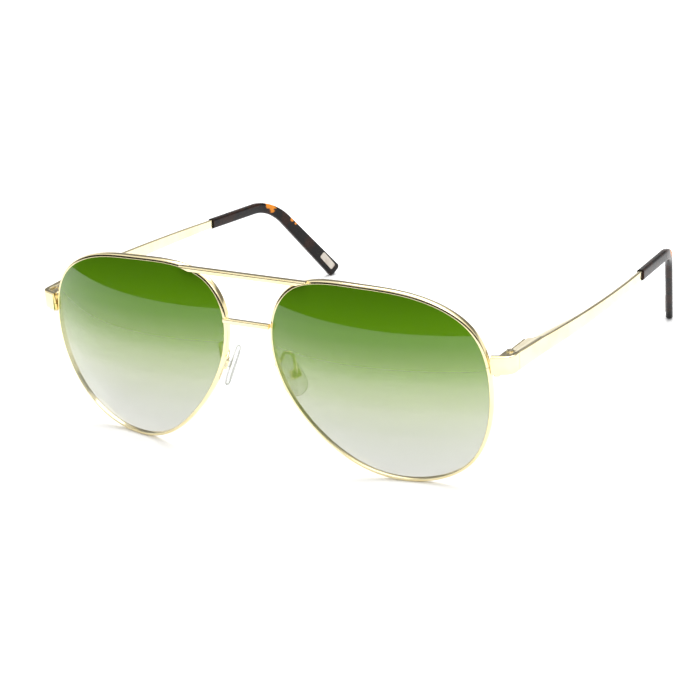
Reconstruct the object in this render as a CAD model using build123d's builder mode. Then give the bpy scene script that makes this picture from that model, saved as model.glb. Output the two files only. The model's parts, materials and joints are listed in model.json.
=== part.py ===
"""Full-rim metal aviator sunglasses with a double bridge and sprung temples.

X runs across the face (+X is the wearer's left), Y runs back along the temples and Z is up.
Heights are taken from the lens centre line while the pieces are made. At the end everything
is shifted, so that the origin lies under the middle of the object, on the surface it stands on.
All the paired pieces are made on the wearer's left, and mirrored for the right.
"""

import os
from math import atan2, cos, radians, sin, sqrt, tan

from build123d import *

# ---------------------------------------------------------------- lenses and rims
lens_width = 58.0          # clear opening of one rim
lens_height = 52.6
bridge_width = 16.0        # nearest distance between the two openings
lens_curve_radius = 76.0   # a base 7 curve
lens_thickness = 1.4
lens_wrap = 6.2            # degrees that the outer edge turns back
lens_tilt = 5.0            # degrees that the top leans forward
lens_centre_y = 0.8        # of the lens at its deepest point
rim_width = 0.9            # wall of the rim wire, seen from the front
rim_depth = 1.45           # front to back
groove_depth = 0.4
groove_width = 0.7
lens_gap = 0.05            # between the lens and its rim

# Half-size positions of the rim opening: a teardrop with a cut-off upper inner corner.
outline_shape = (
    (1.0, 0.03), (0.875, 0.588), (0.445, 0.905), (-0.13, 0.993), (-0.53, 0.978),
    (-0.80, 0.865), (-0.965, 0.615), (-0.985, 0.18), (-0.84, -0.218), (-0.575, -0.59),
    (-0.14, -0.93), (0.235, -1.0), (0.735, -0.80), (0.935, -0.43),
)

# ---------------------------------------------------------------- closing blocks, end pieces
block_height = 4.2         # both halves together
block_reach = 2.4          # outward from the rim
block_depth = 2.4
block_drop = 1.2           # centre of the blocks below the hinge height
block_split = 0.12         # gap that the screw closes
block_screw_diameter = 1.1
block_screw_head = 1.7
block_screw_head_height = 0.5
block_thread_cover = 0.7   # solid metal above the end of the thread
block_screw_end_gap = 0.1
end_thickness = 1.5
end_height = 4.8
end_bend_radius = 3.2      # outside of the corner
end_front_y = 8.1          # front face where the end piece leaves its block
end_slope = 20.8           # degrees that the front part leans back

# ---------------------------------------------------------------- temples
temple_span = 143.2        # between the outer faces
hinge_height = 8.5         # above the lens centre line
joint_y = 13.6             # where the end piece and the temple meet
joint_gap = 0.1
temple_front_height = 4.8
temple_case_height = 4.4   # at the rear of the spring case
temple_case_fall = 0.1
temple_rear_height = 2.5
temple_front_thickness = 1.6
temple_rear_thickness = 1.1
fairing_length = 22.0      # thick part behind the spring case
fairing_width = 1.1
fairing_slope = 0.14       # how fast the fairing narrows where it leaves the spring case
tip_start_y = 94.0
temple_fall = 3.6          # how far the centre line has sunk where the tip starts

tip_thickness = 2.2
tip_front_height = 2.9
tip_bend_height = 2.9
tip_end_height = 4.3
tip_bend_y = 123.4
tip_bend_fall = 5.5        # below the hinge height
tip_drop_angle = 51.5
tip_bend_radius = 18.0
tip_end_radius = 1.2
tip_edge_radius = 0.5
temple_bow_angle = 4.8     # degrees outward at the front, and the same inward at the tip
bow_end_margin = 4.0       # between the end of the bow and the tip's front edge
straight_length = 25.0     # from the bowed blade to the inward bend
inward_bend_angle = 21.0
inward_bend_radius = 42.0
core_width = 1.4
core_thickness = 0.9
core_gap = 0.03
core_end_margin = 7.0      # solid plastic beyond the core
core_end_gap = 0.5
core_root = 1.0            # how far the core starts inside the blade
tip_mouth_radius = 1.35    # hollow front edge that takes the rounded end of the blade
mouth_hollow = 0.9         # centre of that hollow ahead of the tip
inlay_length = 7.0
inlay_height = 2.2
inlay_depth = 0.35
inlay_end_margin = 2.6

# ---------------------------------------------------------------- hinges
knuckle_radius = 1.25
hinge_total_height = 3.7
centre_knuckle_height = 1.2
knuckle_gap = 0.05
pivot_diameter = 1.0
pivot_gap = 0.03
pivot_head_diameter = 1.8
pivot_head_height = 0.4
knuckle_side_gap = 0.15    # from the temple's inner face
axis_setback = 1.0         # pivot axis behind the joint
leaf_length = 2.4
slot_depth = 0.22
slot_width = 0.3
case_setback = 2.4         # spring case behind the pivot axis
case_length = 9.5
case_height = 3.2
case_width = 3.0
case_bore = 1.9
case_edge_radius = 0.7
case_front_wall = 1.4
case_plug_length = 1.6
rod_diameter = 0.9
rod_gap = 0.05
neck_width = 1.5
neck_gap = 0.1
nut_diameter = 1.75
nut_length = 1.2
nut_position = 6.2         # front of the nut behind the front of the case
spring_wire = 0.25
spring_turns = 7
spring_gap = 0.05

# ---------------------------------------------------------------- bridges and nose pads
top_bar_half_length = 19.0
top_bar_height = 1.4
top_bar_depth = 1.9
top_bar_z = 25.9
top_bar_y = 2.0
bridge_height = 1.4
bridge_depth = 1.5
bridge_z = 12.9
wire_edge = 0.3            # corner radius of bridge and top bar, as a share of their height
bridge_y = 2.2
pad_centre = (9.7, 7.6, -1.5)
pad_facing = (-0.80, 0.48, -0.36)
pad_lean = (-0.39, 0.05, 0.92)
pad_height = 12.0
pad_width = 7.0
pad_top_radius = 2.2
pad_thickness = 1.6
pad_edge_radius = 0.6
pad_rise = 0.5             # between the pad plate and its box
pad_box_size = 2.6
pad_box_depth = 1.9
pad_box_wall = 0.5
boss_width = 1.1
boss_length = 1.6
boss_sink = 0.3            # how far the boss reaches into the pad plate
boss_side_gap = 0.06
boss_end_gap = 0.2
pad_screw_diameter = 0.7
pad_screw_gap = 0.03
pad_screw_head = 1.2
pad_screw_head_height = 0.3
pad_box_edge_radius = 0.3
arm_diameter = 0.9
arm_bend_radius = 0.9
arm_start = (7.5, 2.9, 2.2)
arm_back = (8.0, 4.9, 2.9)
arm_top = (9.0, 5.3, 5.6)
arm_return = (11.3, 5.8, 4.6)

# ---------------------------------------------------------------- derived places
lens_centre_x = (lens_width + bridge_width) / 2
temple_outer_x = temple_span / 2
wrap, tilt = radians(lens_wrap), radians(lens_tilt)
lens_plane = Plane(
    origin=(lens_centre_x, lens_centre_y, 0),
    x_dir=(cos(wrap), sin(wrap) * cos(tilt), sin(wrap) * sin(tilt)),
    z_dir=(sin(wrap), -cos(wrap) * cos(tilt), -cos(wrap) * sin(tilt)),
)
reach = 14.0               # half thickness of the blanks that the lens curve trims

opening_points = [Vector(u * lens_width / 2, v * lens_height / 2) for u, v in outline_shape]
opening_curve = Edge.make_spline(opening_points, periodic=True)


def grown_outline(grow):
    """The points of the rim opening, each moved outward by `grow`."""
    for point in opening_points:
        tangent = opening_curve.tangent_at(point)
        yield point + Vector(tangent.Y, -tangent.X) * grow


def curved_plate(grow, front, back):
    """The rim opening grown by `grow`, cut to a shell about the lens curve."""
    with BuildPart(mode=Mode.PRIVATE) as plate:
        with BuildSketch(lens_plane.offset(-reach)):
            with BuildLine():
                Spline(*grown_outline(grow), periodic=True)
            make_face()
        extrude(amount=2 * reach)
        with Locations(lens_plane.offset(-lens_curve_radius).location):
            Sphere(lens_curve_radius + front, rotation=(90, 0, 0), mode=Mode.INTERSECT)
            Sphere(lens_curve_radius - back, rotation=(90, 0, 0), mode=Mode.SUBTRACT)
    return plate.part


def edge_drop(u, v):
    """How far the lens curve has fallen back at a place on the lens plane."""
    return lens_curve_radius - sqrt(lens_curve_radius**2 - u * u - v * v)


# ---------------------------------------------------------------- rim and lens
rim_outer = curved_plate(rim_width, rim_depth / 2, rim_depth / 2)
rim_opening = curved_plate(0, reach / 2, reach / 2)
rim_space = curved_plate(rim_width, reach / 2, reach / 2)
rim_groove = curved_plate(groove_depth, groove_width / 2, groove_width / 2)

block_v = hinge_height - block_drop
block_inner_u = lens_width / 2 - rim_width
block_outer_u = lens_width / 2 + rim_width + block_reach
block_w = -edge_drop(lens_width / 2, block_v)


def block_blank(low, high, grow=0.0):
    """A closing block between two heights on the lens plane, trimmed to the rim's outside."""
    with BuildPart(mode=Mode.PRIVATE) as blank:
        middle = ((block_inner_u + block_outer_u) / 2, (low + high) / 2, block_w)
        with Locations(lens_plane.location * Location(middle)):
            Box(block_outer_u - block_inner_u + 2 * grow, high - low + 2 * grow, block_depth + 2 * grow)
        add(rim_space, mode=Mode.SUBTRACT)
    return blank.part


with BuildPart() as rim:
    add(rim_outer)
    add(rim_opening, mode=Mode.SUBTRACT)
    add(rim_groove, mode=Mode.SUBTRACT)
    with Locations(lens_plane.location * Location((block_outer_u, block_v, block_w))):
        Box(4 * block_reach + 4 * rim_width, block_split, 3 * rim_depth, mode=Mode.SUBTRACT)

lens_body = curved_plate(-lens_gap, lens_thickness / 2, lens_thickness / 2)
lens_bevel = curved_plate(groove_depth - lens_gap, groove_width / 2 - lens_gap, groove_width / 2 - lens_gap)
with BuildPart() as lens:
    add(lens_body)
    add(lens_bevel)

# ---------------------------------------------------------------- closing blocks
block_low = block_v - block_height / 2
block_high = block_v + block_height / 2
block_screw_at = ((block_outer_u + lens_width / 2 + rim_width) / 2, 0, block_w)
block_screw_foot = lens_plane.location * Location(block_screw_at) * Location((0, block_low, 0), (-90, 0, 0))
upper_blank = block_blank(block_v + block_split / 2, block_high)
lower_blank = block_blank(block_low, block_v - block_split / 2)
block_release = block_blank(block_low, block_v, block_split)
thread_depth = block_height - block_thread_cover

with BuildPart() as upper_closing_block:
    add(upper_blank)
    with Locations(block_screw_foot):
        Cylinder(block_screw_diameter / 2 + pivot_gap, thread_depth,
                 align=(Align.CENTER, Align.CENTER, Align.MIN), mode=Mode.SUBTRACT)

with BuildPart() as lower_closing_block:
    add(lower_blank)
    with Locations(block_screw_foot):
        Cylinder(block_screw_diameter / 2 + pivot_gap, thread_depth,
                 align=(Align.CENTER, Align.CENTER, Align.MIN), mode=Mode.SUBTRACT)

with BuildPart() as closing_screw:
    with Locations(block_screw_foot):
        Cylinder(block_screw_diameter / 2, thread_depth - block_screw_end_gap,
                 align=(Align.CENTER, Align.CENTER, Align.MIN))
        Cylinder(block_screw_head / 2, block_screw_head_height,
                 align=(Align.CENTER, Align.CENTER, Align.MAX))
    with Locations(block_screw_foot * Location((0, 0, -block_screw_head_height))):
        Box(2 * block_screw_head, slot_width, 2 * slot_depth, mode=Mode.SUBTRACT)

# ---------------------------------------------------------------- end piece
lean = radians(end_slope)
end_start_x = lens_centre_x + lens_width / 2
inner_x = temple_outer_x - end_thickness
front_run = Vector(cos(lean), sin(lean))
front_normal = Vector(-sin(lean), cos(lean)) * end_thickness
outer_start = Vector(end_start_x, end_front_y - rim_width * tan(lean))
outer_corner = outer_start + front_run * ((temple_outer_x - outer_start.X) / cos(lean))
inner_start = outer_start + front_normal
inner_corner = inner_start + front_run * ((inner_x - inner_start.X) / cos(lean))

with BuildPart() as end_piece:
    with BuildSketch(Plane.XY.offset(hinge_height - end_height / 2)) as end_plan:
        with BuildLine():
            Polyline(
                (outer_start.X, outer_start.Y), (outer_corner.X, outer_corner.Y),
                (temple_outer_x, joint_y), (inner_x, joint_y),
                (inner_corner.X, inner_corner.Y), (inner_start.X, inner_start.Y), close=True,
            )
        make_face()
        outer_bend = end_plan.vertices().sort_by_distance((outer_corner.X, outer_corner.Y))[0]
        fillet(outer_bend, radius=end_bend_radius)
        inner_bend = end_plan.vertices().sort_by_distance((inner_corner.X, inner_corner.Y))[0]
        fillet(inner_bend, radius=end_bend_radius - end_thickness)
    extrude(amount=end_height)
    add(rim_space, mode=Mode.SUBTRACT)
    add(upper_blank, mode=Mode.SUBTRACT)
    add(block_release, mode=Mode.SUBTRACT)

# ---------------------------------------------------------------- hinge on the end piece
axis_x = temple_outer_x - temple_front_thickness - knuckle_side_gap - knuckle_radius
axis_y = joint_y + axis_setback
leaf_face_y = axis_y - knuckle_radius - knuckle_gap
hinge_low = hinge_height - hinge_total_height / 2
hinge_high = hinge_height + hinge_total_height / 2
arm_height = (hinge_total_height - centre_knuckle_height) / 2 - knuckle_gap

with BuildPart() as hinge_leaf:
    with BuildSketch(Plane.XY.offset(hinge_low)):
        with Locations(((axis_x - knuckle_radius + inner_x) / 2, leaf_face_y - leaf_length / 2)):
            Rectangle(inner_x - axis_x + knuckle_radius, leaf_length)
    extrude(amount=hinge_total_height)
    for arm_low in (hinge_low, hinge_high - arm_height):
        with BuildSketch(Plane.XY.offset(arm_low)):
            with Locations((axis_x, axis_y)):
                Circle(knuckle_radius)
            with Locations((axis_x, (axis_y + leaf_face_y) / 2)):
                Rectangle(2 * knuckle_radius, axis_y - leaf_face_y)
        extrude(amount=arm_height)
    with Locations((axis_x, axis_y, hinge_height)):
        Cylinder(pivot_diameter / 2 + pivot_gap, 2 * hinge_total_height, mode=Mode.SUBTRACT)
    add(end_piece.part, mode=Mode.SUBTRACT)
    add(upper_blank, mode=Mode.SUBTRACT)
    add(block_release, mode=Mode.SUBTRACT)

with BuildPart() as hinge_screw:
    with Locations((axis_x, axis_y, hinge_low)):
        Cylinder(pivot_diameter / 2, hinge_total_height, align=(Align.CENTER, Align.CENTER, Align.MIN))
    with Locations((axis_x, axis_y, hinge_high)):
        Cylinder(pivot_head_diameter / 2, pivot_head_height, align=(Align.CENTER, Align.CENTER, Align.MIN))
    with Locations((axis_x, axis_y, hinge_high + pivot_head_height)):
        Box(slot_width, 2 * pivot_head_diameter, 2 * slot_depth, mode=Mode.SUBTRACT)

# ---------------------------------------------------------------- spring mechanism
case_front_y = axis_y + case_setback
case_rear_y = case_front_y + case_length
rod_plane = Plane(origin=(axis_x, case_front_y, hinge_height), x_dir=(1, 0, 0), z_dir=(0, 1, 0))
case_outer_x = temple_outer_x - temple_front_thickness
nut_y = case_front_y + nut_position
chamber_y = case_front_y + case_front_wall

with BuildPart() as hinge_slider:
    with BuildSketch(Plane.XY.offset(hinge_height - centre_knuckle_height / 2)):
        with Locations((axis_x, axis_y)):
            Circle(knuckle_radius)
        with Locations((axis_x, (axis_y + case_front_y - neck_gap) / 2)):
            Rectangle(neck_width, case_setback - neck_gap)
    extrude(amount=centre_knuckle_height)
    with BuildSketch(rod_plane.offset(-neck_gap)):
        Circle(rod_diameter / 2)
    extrude(amount=neck_gap + nut_position + nut_length)
    with Locations((axis_x, axis_y, hinge_height)):
        Cylinder(pivot_diameter / 2 + pivot_gap, 2 * centre_knuckle_height, mode=Mode.SUBTRACT)

with BuildPart() as slider_nut:
    with BuildSketch(rod_plane.offset(nut_position)):
        Circle(nut_diameter / 2)
        Circle(rod_diameter / 2 + pivot_gap, mode=Mode.SUBTRACT)
    extrude(amount=nut_length)

with BuildPart() as hinge_case:
    with Locations((case_outer_x - case_width / 2, (case_front_y + case_rear_y) / 2, hinge_height)):
        Box(case_width, case_length, case_height)
    inner_edges = hinge_case.edges().filter_by(Axis.Y).group_by(Axis.X)[0]
    fillet(inner_edges, radius=case_edge_radius)
    with BuildSketch(rod_plane):
        Circle(rod_diameter / 2 + rod_gap)
    extrude(amount=case_length, mode=Mode.SUBTRACT)
    with BuildSketch(rod_plane.offset(case_front_wall)):
        Circle(case_bore / 2)
    extrude(amount=case_length, mode=Mode.SUBTRACT)

with BuildPart() as case_plug:
    with BuildSketch(rod_plane.offset(case_length - case_plug_length)):
        Circle(case_bore / 2 - pivot_gap)
    extrude(amount=case_plug_length)

spring_length = nut_y - chamber_y - 2 * spring_gap
spring_radius = case_bore / 2 - spring_gap - spring_wire / 2
coil_height = spring_length - spring_wire
coil_plane = rod_plane.offset(case_front_wall + spring_gap + spring_wire / 2)
coil = coil_plane.location * Helix(pitch=coil_height / spring_turns, height=coil_height, radius=spring_radius)
with BuildPart() as hinge_spring:
    with BuildSketch(Plane(origin=coil @ 0, z_dir=coil % 0)):
        Circle(spring_wire / 2)
    sweep(path=coil, is_frenet=True)

# ---------------------------------------------------------------- temple and tip outlines
floor_z = rim.part.bounding_box().min.Z
drop = radians(tip_drop_angle)
bend_z = hinge_height - tip_bend_fall
start_z = hinge_height - temple_fall
drop_length = (bend_z - floor_z - tip_end_height / 2 * cos(drop)
               + tip_end_radius * (cos(drop) + sin(drop) - 1)) / sin(drop)
tip_end_y = tip_bend_y + drop_length * cos(drop)
slope = atan2(start_z - bend_z, tip_bend_y - tip_start_y)
half_turn = (drop - slope) / 2


def side_point(y, z, angle, across):
    """A point `across` above a place on the centre line that runs down at `angle`."""
    return (y + across * sin(angle), z + across * cos(angle))


def tip_profile(front, bend, end, length, front_y):
    """Side view of the tip, or of its core: half heights at the front, the bend and the end."""
    miter = (slope + drop) / 2
    front_z = bend_z + (tip_bend_y - front_y) * tan(slope)
    end_y, end_z = tip_bend_y + length * cos(drop), bend_z - length * sin(drop)
    return [
        side_point(front_y, front_z, slope, front),
        side_point(tip_bend_y, bend_z, miter, bend / cos(half_turn)),
        side_point(end_y, end_z, drop, end),
        side_point(end_y, end_z, drop, -end),
        side_point(tip_bend_y, bend_z, miter, -bend / cos(half_turn)),
        side_point(front_y, front_z, slope, -front),
    ]


def temple_plan_line(start_x):
    """The temple seen from above: bowed outward, then straight, then bent in behind the ear."""
    bow = radians(temple_bow_angle)
    blade_radius = (tip_start_y - bow_end_margin - joint_y) / 2 / sin(bow)
    blade_arc = JernArc(
        start=(start_x, joint_y), tangent=(sin(bow), cos(bow)),
        radius=blade_radius, arc_size=2 * temple_bow_angle,
    )
    straight = Line(blade_arc @ 1, blade_arc @ 1 + (blade_arc % 1) * straight_length)
    bend = JernArc(
        start=straight @ 1, tangent=straight % 1,
        radius=inward_bend_radius, arc_size=inward_bend_angle - temple_bow_angle,
    )
    Line(bend @ 1, bend @ 1 + (bend % 1) * temple_span / 2)


def curved_bar(profile, thickness, end_radius, centre_x):
    """A side profile given the thickness and the inward sweep of the temple's rear end."""
    with BuildPart(mode=Mode.PRIVATE) as bar:
        with BuildSketch(Plane.YZ) as side:
            with BuildLine():
                Polyline(*profile, close=True)
            make_face()
            bends = [side.vertices().sort_by_distance(profile[i])[0] for i in (1, 4)]
            fillet(bends, radius=tip_bend_radius)
            ends = [side.vertices().sort_by_distance(profile[i])[0] for i in (2, 3)]
            fillet(ends, radius=end_radius)
        extrude(amount=2 * temple_span)
        with BuildSketch(Plane.XY.offset(2 * floor_z)):
            with BuildLine():
                temple_plan_line(centre_x)
            trace(line_width=thickness)
        extrude(amount=-4 * floor_z, mode=Mode.INTERSECT)
    return bar.part


temple_centre_x = temple_outer_x - temple_rear_thickness / 2
core_length = drop_length - core_end_margin
core = curved_bar(
    tip_profile(core_width / 2, core_width / 2, core_width / 2, core_length, tip_start_y - core_root),
    core_thickness, core_width / 4, temple_centre_x,
)
core_hole = curved_bar(
    tip_profile(core_width / 2 + core_gap, core_width / 2 + core_gap, core_width / 2 + core_gap,
                core_length + core_end_gap, tip_start_y - core_end_margin),
    core_thickness + 2 * core_gap, core_width / 4, temple_centre_x,
)

# ---------------------------------------------------------------- temple blade
fairing_end_y = case_rear_y + fairing_length
fairing_x = case_outer_x - fairing_width
with BuildLine(mode=Mode.PRIVATE) as temple_plan:
    temple_plan_line(temple_centre_x)
plan_curve = temple_plan.line


def plan_x(y):
    """The x of the temple's middle line at a distance back."""
    crossing = plan_curve.intersect(Axis((0, y, 0), (1, 0, 0)))
    return crossing[0].X


fairing_end_x = plan_x(fairing_end_y)

with BuildPart() as temple:
    with BuildSketch(Plane.XY.offset(2 * floor_z)):
        with BuildLine():
            temple_plan_line(temple_centre_x)
        trace(line_width=temple_rear_thickness)
        with BuildLine():
            Polyline(
                (fairing_x, case_rear_y), (case_outer_x, case_rear_y), (case_outer_x, joint_y),
                (temple_centre_x, joint_y), (fairing_end_x, fairing_end_y),
            )
            Spline(
                (fairing_end_x, fairing_end_y), (fairing_x, case_rear_y),
                tangents=[(0, -1), (-fairing_slope, -1)],
            )
        make_face()
        with Locations((temple_outer_x, joint_y)):
            Rectangle(temple_span, 2 * joint_gap, mode=Mode.SUBTRACT)
    extrude(amount=-4 * floor_z)
    with BuildSketch(Plane.YZ):
        with BuildLine():
            Polyline(
                (joint_y, hinge_height + temple_front_height / 2),
                (case_rear_y, hinge_height - temple_case_fall + temple_case_height / 2),
                (tip_start_y - mouth_hollow, start_z + temple_rear_height / 2),
                (tip_start_y - mouth_hollow, start_z - temple_rear_height / 2),
                (case_rear_y, hinge_height - temple_case_fall - temple_case_height / 2),
                (joint_y, hinge_height - temple_front_height / 2), close=True,
            )
        make_face()
        with Locations((tip_start_y - mouth_hollow, start_z)):
            Circle(temple_rear_height / 2)
    extrude(amount=2 * temple_span, mode=Mode.INTERSECT)
    add(core)

# ---------------------------------------------------------------- temple tip and its inlay
temple_tip_blank = curved_bar(
    tip_profile(tip_front_height / 2, tip_bend_height / 2, tip_end_height / 2, drop_length, tip_start_y),
    tip_thickness, tip_end_radius, temple_centre_x,
)
inlay_run = drop_length - inlay_end_margin - inlay_length / 2
inlay_y = tip_bend_y + inlay_run * cos(drop)
inlay_z = bend_z - inlay_run * sin(drop)
inlay_sweep = radians(inward_bend_angle)
inlay_out = Vector(-cos(inlay_sweep), -sin(inlay_sweep), 0)
inlay_along = Vector(-sin(inlay_sweep) * cos(drop), cos(inlay_sweep) * cos(drop), -sin(drop))
inlay_x = plan_x(inlay_y) - tip_thickness / 2 / cos(inlay_sweep)
inlay_plane = Plane(origin=(inlay_x, inlay_y, inlay_z), x_dir=inlay_along, z_dir=inlay_out)


def inlay_blank(grow):
    """The flat plate let into the inner side of the tip, `grow` larger all round."""
    with BuildPart(mode=Mode.PRIVATE) as plate:
        with BuildSketch(inlay_plane.offset(-inlay_depth - grow)):
            RectangleRounded(inlay_length + 2 * grow, inlay_height + 2 * grow, inlay_height / 4)
        extrude(amount=inlay_depth + grow)
    return plate.part


with BuildPart() as temple_tip:
    add(temple_tip_blank)
    long_edges = temple_tip.edges().filter_by(lambda edge: edge.length > 1.2 * tip_thickness)
    fillet(long_edges, radius=tip_edge_radius)
    with BuildSketch(Plane.YZ):
        with Locations((tip_start_y - mouth_hollow, start_z)):
            Circle(tip_mouth_radius)
    extrude(amount=2 * temple_span, mode=Mode.SUBTRACT)
    add(core_hole, mode=Mode.SUBTRACT)
    add(inlay_blank(core_gap), mode=Mode.SUBTRACT)

with BuildPart() as tip_inlay:
    add(inlay_blank(0))

# ---------------------------------------------------------------- nose pad and its arm
facing = Vector(pad_facing).normalized()
across = Vector(pad_lean).cross(facing).normalized()
pad_middle = Vector(pad_centre)
pad_plane = Plane(origin=pad_middle, x_dir=across, z_dir=facing)
box_centre_w = -pad_rise - pad_box_depth / 2
boss_height = pad_rise + pad_box_depth - pad_box_wall - boss_end_gap
screw_place = pad_plane.location * Location((0, 0, box_centre_w), (0, 90, 0))

with BuildPart() as nose_pad:
    with BuildSketch(pad_plane):
        with Locations((0, (pad_width - pad_height) / 2)):
            Circle(pad_width / 2)
        with Locations((0, pad_height / 2 - pad_top_radius)):
            Circle(pad_top_radius)
        make_hull()
    extrude(amount=pad_thickness)
    pad_rims = nose_pad.faces().filter_by(pad_plane).edges()
    fillet(pad_rims, radius=pad_edge_radius)
    with Locations(pad_plane.location * Location((0, 0, boss_sink))):
        Box(boss_width, boss_length, boss_height + boss_sink, align=(Align.CENTER, Align.CENTER, Align.MAX))
    with Locations(screw_place):
        Cylinder(pad_screw_diameter / 2 + pad_screw_gap, pad_width, mode=Mode.SUBTRACT)

with BuildPart() as pad_box:
    with Locations(pad_plane.location * Location((0, 0, box_centre_w))):
        Box(pad_box_size, pad_box_size, pad_box_depth)
    fillet(pad_box.edges().group_by(Axis(pad_middle, facing))[0], radius=pad_box_edge_radius)
    with Locations(pad_plane.location * Location((0, 0, box_centre_w + pad_box_wall))):
        Box(boss_width + 2 * boss_side_gap, 2 * pad_box_size, pad_box_depth, mode=Mode.SUBTRACT)
    with Locations(screw_place):
        Cylinder(pad_screw_diameter / 2 + pad_screw_gap, 2 * pad_box_size, mode=Mode.SUBTRACT)

with BuildPart() as pad_screw:
    with Locations(screw_place):
        Cylinder(pad_screw_diameter / 2, pad_box_size)
    with Locations(screw_place * Location((0, 0, pad_box_size / 2))):
        Cylinder(pad_screw_head / 2, pad_screw_head_height,
                 align=(Align.CENTER, Align.CENTER, Align.MIN))

arm_end = pad_plane.location * Location((0, 0, box_centre_w))
with BuildPart() as pad_arm:
    with BuildLine() as arm_path:
        FilletPolyline(arm_start, arm_back, arm_top, arm_return, arm_end.position, radius=arm_bend_radius)
    with BuildSketch(Plane(origin=arm_path.line @ 0, z_dir=arm_path.line % 0)):
        Circle(arm_diameter / 2)
    sweep()
    add(rim.part, mode=Mode.SUBTRACT)
    with Locations(pad_plane.location * Location((0, 0, box_centre_w))):
        Box(pad_box_size, pad_box_size, pad_box_depth, mode=Mode.SUBTRACT)

# ---------------------------------------------------------------- bridge and top bar
right_rim_space = mirror(rim_space, about=Plane.YZ)
with BuildPart() as bridge:
    with BuildSketch(Plane.YZ.offset(-lens_centre_x)):
        with Locations((bridge_y, bridge_z)):
            RectangleRounded(bridge_depth, bridge_height, bridge_height * wire_edge)
    extrude(amount=2 * lens_centre_x)
    add(rim_space, mode=Mode.SUBTRACT)
    add(right_rim_space, mode=Mode.SUBTRACT)

with BuildPart() as top_bar:
    with BuildSketch(Plane.YZ.offset(-top_bar_half_length)):
        with Locations((top_bar_y, top_bar_z)):
            RectangleRounded(top_bar_depth, top_bar_height, top_bar_height * wire_edge)
    extrude(amount=2 * top_bar_half_length)
    add(rim_space, mode=Mode.SUBTRACT)
    add(right_rim_space, mode=Mode.SUBTRACT)

pieces = {
    "rim": rim, "lens": lens, "upper_closing_block": upper_closing_block,
    "lower_closing_block": lower_closing_block, "closing_screw": closing_screw, "end_piece": end_piece,
    "hinge_leaf": hinge_leaf, "hinge_screw": hinge_screw, "hinge_slider": hinge_slider,
    "slider_nut": slider_nut, "hinge_case": hinge_case, "case_plug": case_plug, "hinge_spring": hinge_spring,
    "temple": temple, "temple_tip": temple_tip, "tip_inlay": tip_inlay,
    "nose_pad": nose_pad, "pad_box": pad_box, "pad_screw": pad_screw, "pad_arm": pad_arm,
}
solids = {"bridge": bridge.part, "top_bar": top_bar.part}
for name, piece in pieces.items():
    solids[f"left_{name}"] = piece.part
    solids[f"right_{name}"] = mirror(piece.part, about=Plane.YZ)

# ---------------------------------------------------------------- origin and files
whole = Compound(children=[solid.moved(Location()) for solid in solids.values()]).bounding_box()
to_origin = Location((0, -whole.center().Y, -whole.min.Z))
os.makedirs("parts", exist_ok=True)
for name, solid in solids.items():
    placed = solid.moved(to_origin)
    placed.label = name
    export_step(placed, f"parts/{name}.step")
pivot = to_origin * Location((axis_x, axis_y, hinge_height))
pad_pivot = to_origin * screw_place
print("size", whole.size, "shift", to_origin.position)
print("hinge axis", pivot.position, "pad axis", pad_pivot.position, "pad axis direction", across)
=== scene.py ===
"""Gold aviator sunglasses: the visible metalwork, lenses, tips and pads, and a pale studio around them.

Sizes are in millimetres, in the maker's frame: X across the face (+X is the wearer's left), Y back
along the temples, and heights from the lens centre line. `MakersFrame` turns them into metres.
"""

from __future__ import annotations

import json
import logging
import math
from dataclasses import dataclass
from enum import Enum

import bmesh
import bpy
import numpy as np
from mathutils import Matrix, Vector

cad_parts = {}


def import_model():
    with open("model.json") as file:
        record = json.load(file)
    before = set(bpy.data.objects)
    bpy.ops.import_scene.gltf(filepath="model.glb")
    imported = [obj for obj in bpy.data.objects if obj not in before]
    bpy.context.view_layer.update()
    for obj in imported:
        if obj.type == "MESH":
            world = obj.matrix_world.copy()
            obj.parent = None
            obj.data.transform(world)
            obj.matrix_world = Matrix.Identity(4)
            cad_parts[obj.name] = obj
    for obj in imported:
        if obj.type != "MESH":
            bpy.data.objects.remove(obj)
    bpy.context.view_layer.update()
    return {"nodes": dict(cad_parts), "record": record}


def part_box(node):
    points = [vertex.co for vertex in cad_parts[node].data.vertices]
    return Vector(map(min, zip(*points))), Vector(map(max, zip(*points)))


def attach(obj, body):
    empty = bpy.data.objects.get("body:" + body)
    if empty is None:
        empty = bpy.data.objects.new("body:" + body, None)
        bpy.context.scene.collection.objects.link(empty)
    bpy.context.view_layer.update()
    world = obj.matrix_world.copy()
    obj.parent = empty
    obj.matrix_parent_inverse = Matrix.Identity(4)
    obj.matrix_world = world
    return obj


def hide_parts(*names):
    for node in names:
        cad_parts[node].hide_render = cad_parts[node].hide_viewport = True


LOG = logging.getLogger("sunglasses")
MM = 0.001

# How meshes are cleaned: distances in metres, angles in degrees.
SKIN_MERGE = 1e-7
CAD_MERGE = 1e-6
CAD_FLAT_ANGLE = 0.5
CAD_SHARP_ANGLE = 28.0
WIRE_SHARP_ANGLE = 50.0
ROUNDEST = 0.499

Colour = tuple[float, float, float, float]
Point = tuple[float, float, float]
Range = tuple[float, float]
Settings = dict[str, object]
Inputs = dict[str | int, object]


class Side(Enum):
    """The two halves of the frame, as the wearer has them."""

    LEFT = 1
    RIGHT = -1

    @property
    def word(self) -> str:
        """The side's name, as the CAD nodes use it."""
        return self.name.lower()


class Sky(Enum):
    """The two brightnesses of the studio's surround."""

    WHITE = 1.12
    DARK_CARD = 0.03


# ---------------------------------------------------------------- node trees


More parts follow.
